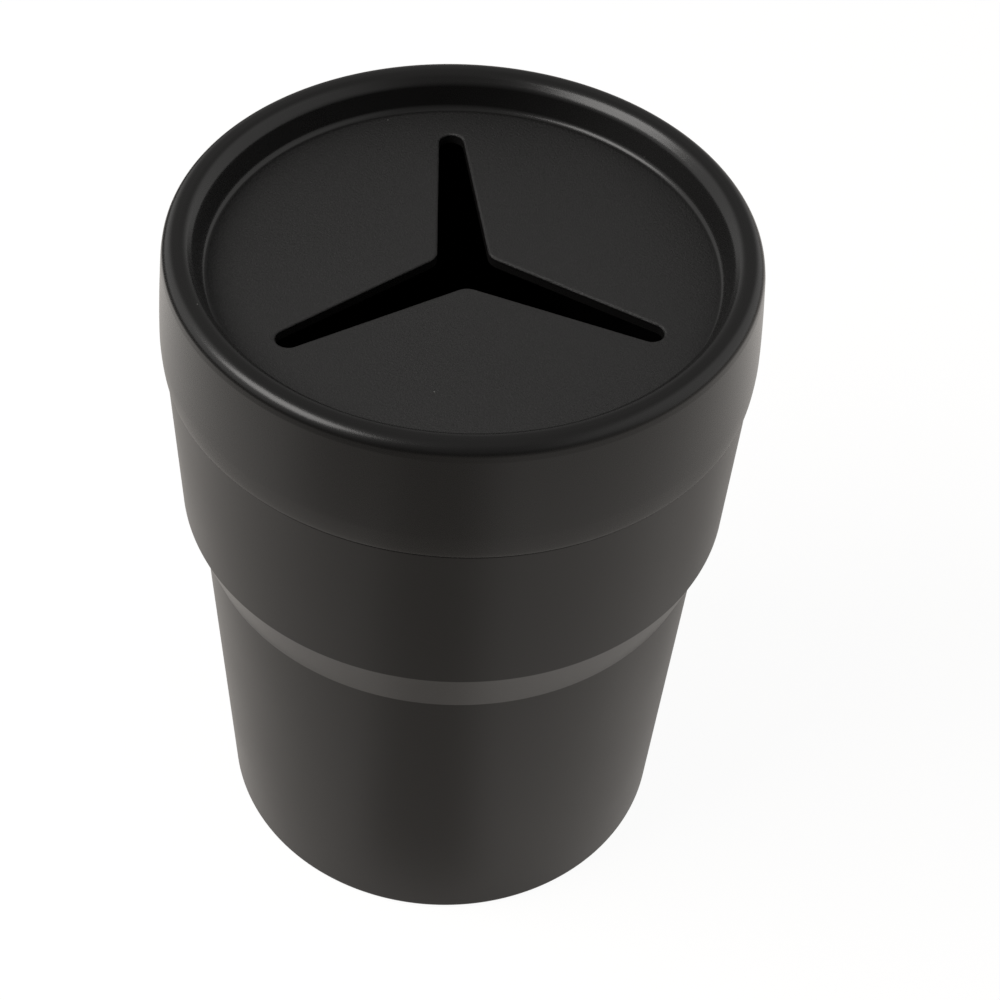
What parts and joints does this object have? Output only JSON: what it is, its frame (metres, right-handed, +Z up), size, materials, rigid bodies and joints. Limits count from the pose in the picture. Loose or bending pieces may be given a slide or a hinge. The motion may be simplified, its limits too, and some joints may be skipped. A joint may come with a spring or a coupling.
{
  "type": "car trash bin",
  "caption": "Small round litter bin for a car's cup holder: a stepped, tapered tub and a press-on lid with a rounded rim, a recessed floor and a branched slot.",
  "frame": {"origin": "on the bin's axis, on the surface that the foot stands on", "axes": "+Z up along the bin's axis; -Y towards the viewer of the picture; +X to the viewer's right"},
  "size_m": [0.08, 0.08, 0.105],
  "materials": {
    "tub_plastic": "satin moulded black",
    "lid_plastic": "satin moulded black, with a fine spark-eroded grain on the recessed floor"
  },
  "bodies": {
    "bin": {"tub": "tub_plastic"},
    "lid": {"lid": "lid_plastic"}
  },
  "joints": [
    {"name": "lid_lift", "type": "slide", "parent": "bin", "child": "lid", "axis": [0, 0, 1], "range_m": [0, 0.05]}
  ]
}
